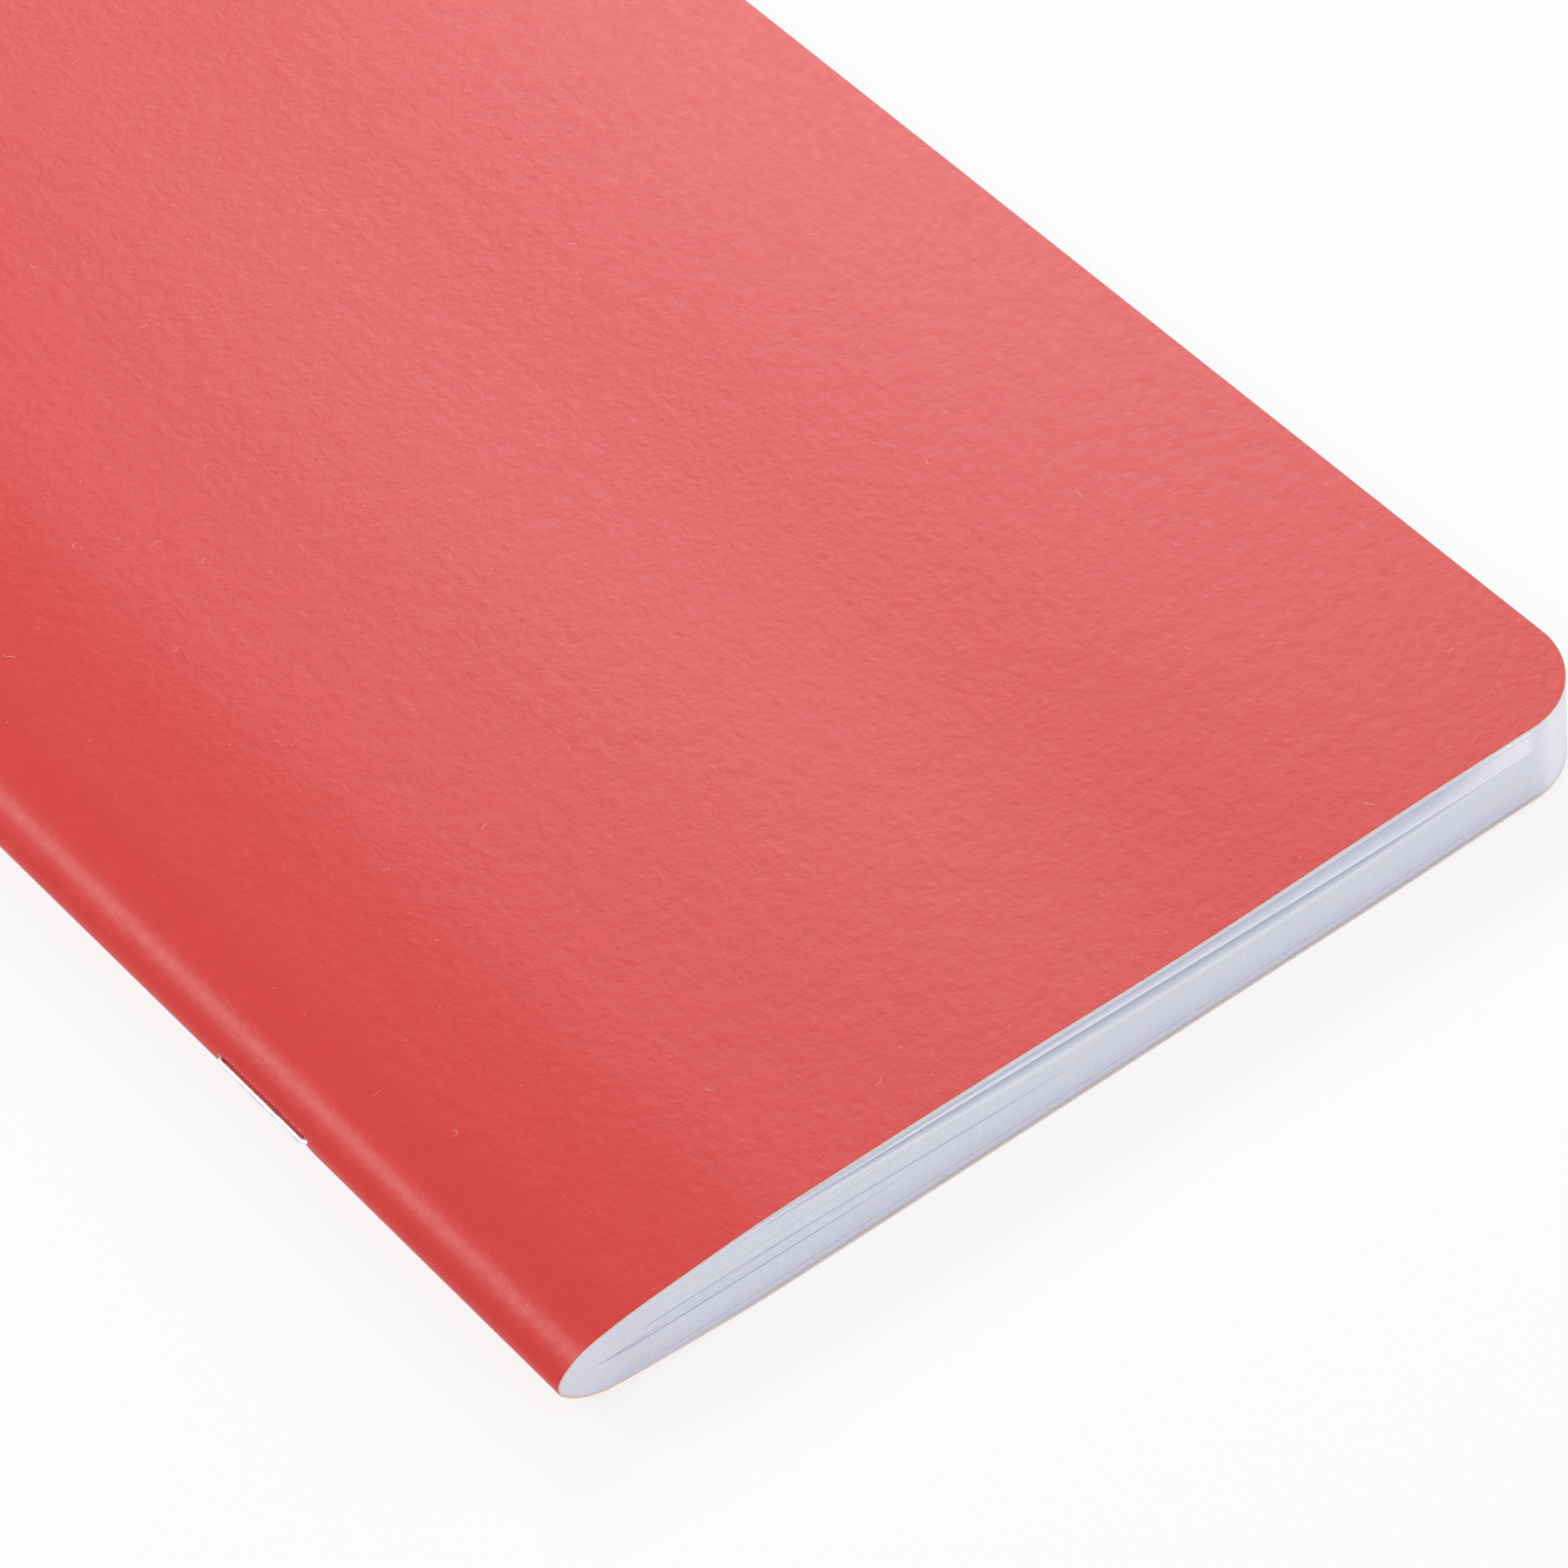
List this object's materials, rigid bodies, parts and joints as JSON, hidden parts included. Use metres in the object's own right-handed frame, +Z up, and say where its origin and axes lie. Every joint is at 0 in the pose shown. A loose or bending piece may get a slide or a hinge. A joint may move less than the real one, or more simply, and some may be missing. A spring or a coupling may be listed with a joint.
{
  "type": "stapled exercise book",
  "caption": "Pocket exercise book with a red card cover, round fore-edge corners and nested folded sheets wire-stitched through the spine; it opens flat at the middle.",
  "frame": {"origin": "middle of the back cover's underside, as the closed book lies on it", "axes": "+X from the spine to the fore edge, +Y from the tail to the head, +Z up through the closed book"},
  "size_m": [0.1105, 0.17, 0.0092],
  "materials": {
    "red_card": "fine pebble grain, soft satin sheen",
    "page_paper": "uncoated, matte",
    "steel_wire": "drawn bright wire"
  },
  "bodies": {
    "back_half": {"cover_back": "red_card", "sheet_01_back": "page_paper", "sheet_02_back": "page_paper", "sheet_03_back": "page_paper", "sheet_04_back": "page_paper", "sheet_05_back": "page_paper", "sheet_06_back": "page_paper", "sheet_07_back": "page_paper", "sheet_08_back": "page_paper", "sheet_09_back": "page_paper", "sheet_10_back": "page_paper", "sheet_11_back": "page_paper", "sheet_12_back": "page_paper", "sheet_13_back": "page_paper", "sheet_14_back": "page_paper", "sheet_15_back": "page_paper", "sheet_16_back": "page_paper", "sheet_17_back": "page_paper", "sheet_18_back": "page_paper", "sheet_19_back": "page_paper", "sheet_20_back": "page_paper", "sheet_21_back": "page_paper", "sheet_22_back": "page_paper", "sheet_23_back": "page_paper", "sheet_24_back": "page_paper"},
    "front_cover": {"cover_front": "red_card"},
    "spine": {"cover_spine": "red_card", "sheet_folds": "page_paper", "staple_tail": "steel_wire", "staple_head": "steel_wire"},
    "leaf_01": {"sheet_01_front": "page_paper"},
    "leaf_02": {"sheet_02_front": "page_paper"},
    "leaf_03": {"sheet_03_front": "page_paper"},
    "leaf_04": {"sheet_04_front": "page_paper"},
    "leaf_05": {"sheet_05_front": "page_paper"},
    "leaf_06": {"sheet_06_front": "page_paper"},
    "leaf_07": {"sheet_07_front": "page_paper"},
    "leaf_08": {"sheet_08_front": "page_paper"},
    "leaf_09": {"sheet_09_front": "page_paper"},
    "leaf_10": {"sheet_10_front": "page_paper"},
    "leaf_11": {"sheet_11_front": "page_paper"},
    "leaf_12": {"sheet_12_front": "page_paper"},
    "leaf_13": {"sheet_13_front": "page_paper"},
    "leaf_14": {"sheet_14_front": "page_paper"},
    "leaf_15": {"sheet_15_front": "page_paper"},
    "leaf_16": {"sheet_16_front": "page_paper"},
    "leaf_17": {"sheet_17_front": "page_paper"},
    "leaf_18": {"sheet_18_front": "page_paper"},
    "leaf_19": {"sheet_19_front": "page_paper"},
    "leaf_20": {"sheet_20_front": "page_paper"},
    "leaf_21": {"sheet_21_front": "page_paper"},
    "leaf_22": {"sheet_22_front": "page_paper"},
    "leaf_23": {"sheet_23_front": "page_paper"},
    "leaf_24": {"sheet_24_front": "page_paper"}
  },
  "joints": [
    {"name": "cover_opens", "type": "hinge", "parent": "back_half", "child": "front_cover", "pos_m": [-0.051, 0, 0.00461], "axis": [0, -1, 0], "range_deg": [0, 179], "deforming": ["cover_spine", "sheet_folds"]},
    {"name": "spine_turns", "type": "hinge", "parent": "back_half", "child": "spine", "pos_m": [-0.051, 0, 0.00461], "axis": [0, -1, 0], "range_deg": [0, 89.5]},
    {"name": "leaf_01_turns", "type": "hinge", "parent": "back_half", "child": "leaf_01", "pos_m": [-0.051, 0, 0.00461], "axis": [0, -1, 0], "range_deg": [0, 179]},
    {"name": "leaf_02_turns", "type": "hinge", "parent": "back_half", "child": "leaf_02", "pos_m": [-0.051, 0, 0.00461], "axis": [0, -1, 0], "range_deg": [0, 179]},
    {"name": "leaf_03_turns", "type": "hinge", "parent": "back_half", "child": "leaf_03", "pos_m": [-0.051, 0, 0.00461], "axis": [0, -1, 0], "range_deg": [0, 179]},
    {"name": "leaf_04_turns", "type": "hinge", "parent": "back_half", "child": "leaf_04", "pos_m": [-0.051, 0, 0.00461], "axis": [0, -1, 0], "range_deg": [0, 179]},
    {"name": "leaf_05_turns", "type": "hinge", "parent": "back_half", "child": "leaf_05", "pos_m": [-0.051, 0, 0.00461], "axis": [0, -1, 0], "range_deg": [0, 179]},
    {"name": "leaf_06_turns", "type": "hinge", "parent": "back_half", "child": "leaf_06", "pos_m": [-0.051, 0, 0.00461], "axis": [0, -1, 0], "range_deg": [0, 179]},
    {"name": "leaf_07_turns", "type": "hinge", "parent": "back_half", "child": "leaf_07", "pos_m": [-0.051, 0, 0.00461], "axis": [0, -1, 0], "range_deg": [0, 179]},
    {"name": "leaf_08_turns", "type": "hinge", "parent": "back_half", "child": "leaf_08", "pos_m": [-0.051, 0, 0.00461], "axis": [0, -1, 0], "range_deg": [0, 179]},
    {"name": "leaf_09_turns", "type": "hinge", "parent": "back_half", "child": "leaf_09", "pos_m": [-0.051, 0, 0.00461], "axis": [0, -1, 0], "range_deg": [0, 179]},
    {"name": "leaf_10_turns", "type": "hinge", "parent": "back_half", "child": "leaf_10", "pos_m": [-0.051, 0, 0.00461], "axis": [0, -1, 0], "range_deg": [0, 179]},
    {"name": "leaf_11_turns", "type": "hinge", "parent": "back_half", "child": "leaf_11", "pos_m": [-0.051, 0, 0.00461], "axis": [0, -1, 0], "range_deg": [0, 179]},
    {"name": "leaf_12_turns", "type": "hinge", "parent": "back_half", "child": "leaf_12", "pos_m": [-0.051, 0, 0.00461], "axis": [0, -1, 0], "range_deg": [0, 179]},
    {"name": "leaf_13_turns", "type": "hinge", "parent": "back_half", "child": "leaf_13", "pos_m": [-0.051, 0, 0.00461], "axis": [0, -1, 0], "range_deg": [0, 179]},
    {"name": "leaf_14_turns", "type": "hinge", "parent": "back_half", "child": "leaf_14", "pos_m": [-0.051, 0, 0.00461], "axis": [0, -1, 0], "range_deg": [0, 179]},
    {"name": "leaf_15_turns", "type": "hinge", "parent": "back_half", "child": "leaf_15", "pos_m": [-0.051, 0, 0.00461], "axis": [0, -1, 0], "range_deg": [0, 179]},
    {"name": "leaf_16_turns", "type": "hinge", "parent": "back_half", "child": "leaf_16", "pos_m": [-0.051, 0, 0.00461], "axis": [0, -1, 0], "range_deg": [0, 179]},
    {"name": "leaf_17_turns", "type": "hinge", "parent": "back_half", "child": "leaf_17", "pos_m": [-0.051, 0, 0.00461], "axis": [0, -1, 0], "range_deg": [0, 179]},
    {"name": "leaf_18_turns", "type": "hinge", "parent": "back_half", "child": "leaf_18", "pos_m": [-0.051, 0, 0.00461], "axis": [0, -1, 0], "range_deg": [0, 179]},
    {"name": "leaf_19_turns", "type": "hinge", "parent": "back_half", "child": "leaf_19", "pos_m": [-0.051, 0, 0.00461], "axis": [0, -1, 0], "range_deg": [0, 179]},
    {"name": "leaf_20_turns", "type": "hinge", "parent": "back_half", "child": "leaf_20", "pos_m": [-0.051, 0, 0.00461], "axis": [0, -1, 0], "range_deg": [0, 179]},
    {"name": "leaf_21_turns", "type": "hinge", "parent": "back_half", "child": "leaf_21", "pos_m": [-0.051, 0, 0.00461], "axis": [0, -1, 0], "range_deg": [0, 179]},
    {"name": "leaf_22_turns", "type": "hinge", "parent": "back_half", "child": "leaf_22", "pos_m": [-0.051, 0, 0.00461], "axis": [0, -1, 0], "range_deg": [0, 179]},
    {"name": "leaf_23_turns", "type": "hinge", "parent": "back_half", "child": "leaf_23", "pos_m": [-0.051, 0, 0.00461], "axis": [0, -1, 0], "range_deg": [0, 179]},
    {"name": "leaf_24_turns", "type": "hinge", "parent": "back_half", "child": "leaf_24", "pos_m": [-0.051, 0, 0.00461], "axis": [0, -1, 0], "range_deg": [0, 179]}
  ],
  "couplings": [
    {"joint": "spine_turns", "follows": "cover_opens", "ratio": 0.5},
    {"joint": "leaf_01_turns", "follows": "cover_opens", "ratio": 0.999},
    {"joint": "leaf_02_turns", "follows": "cover_opens", "ratio": 0.998},
    {"joint": "leaf_03_turns", "follows": "cover_opens", "ratio": 0.997},
    {"joint": "leaf_04_turns", "follows": "cover_opens", "ratio": 0.996},
    {"joint": "leaf_05_turns", "follows": "cover_opens", "ratio": 0.995},
    {"joint": "leaf_06_turns", "follows": "cover_opens", "ratio": 0.994},
    {"joint": "leaf_07_turns", "follows": "cover_opens", "ratio": 0.993},
    {"joint": "leaf_08_turns", "follows": "cover_opens", "ratio": 0.992},
    {"joint": "leaf_09_turns", "follows": "cover_opens", "ratio": 0.991},
    {"joint": "leaf_10_turns", "follows": "cover_opens", "ratio": 0.99},
    {"joint": "leaf_11_turns", "follows": "cover_opens", "ratio": 0.989},
    {"joint": "leaf_12_turns", "follows": "cover_opens", "ratio": 0.988},
    {"joint": "leaf_13_turns", "follows": "cover_opens", "ratio": 0.987},
    {"joint": "leaf_14_turns", "follows": "cover_opens", "ratio": 0.986},
    {"joint": "leaf_15_turns", "follows": "cover_opens", "ratio": 0.985},
    {"joint": "leaf_16_turns", "follows": "cover_opens", "ratio": 0.984},
    {"joint": "leaf_17_turns", "follows": "cover_opens", "ratio": 0.983},
    {"joint": "leaf_18_turns", "follows": "cover_opens", "ratio": 0.982},
    {"joint": "leaf_19_turns", "follows": "cover_opens", "ratio": 0.981},
    {"joint": "leaf_20_turns", "follows": "cover_opens", "ratio": 0.98},
    {"joint": "leaf_21_turns", "follows": "cover_opens", "ratio": 0.979},
    {"joint": "leaf_22_turns", "follows": "cover_opens", "ratio": 0.978},
    {"joint": "leaf_23_turns", "follows": "cover_opens", "ratio": 0.977},
    {"joint": "leaf_24_turns", "follows": "cover_opens", "ratio": 0.976}
  ]
}
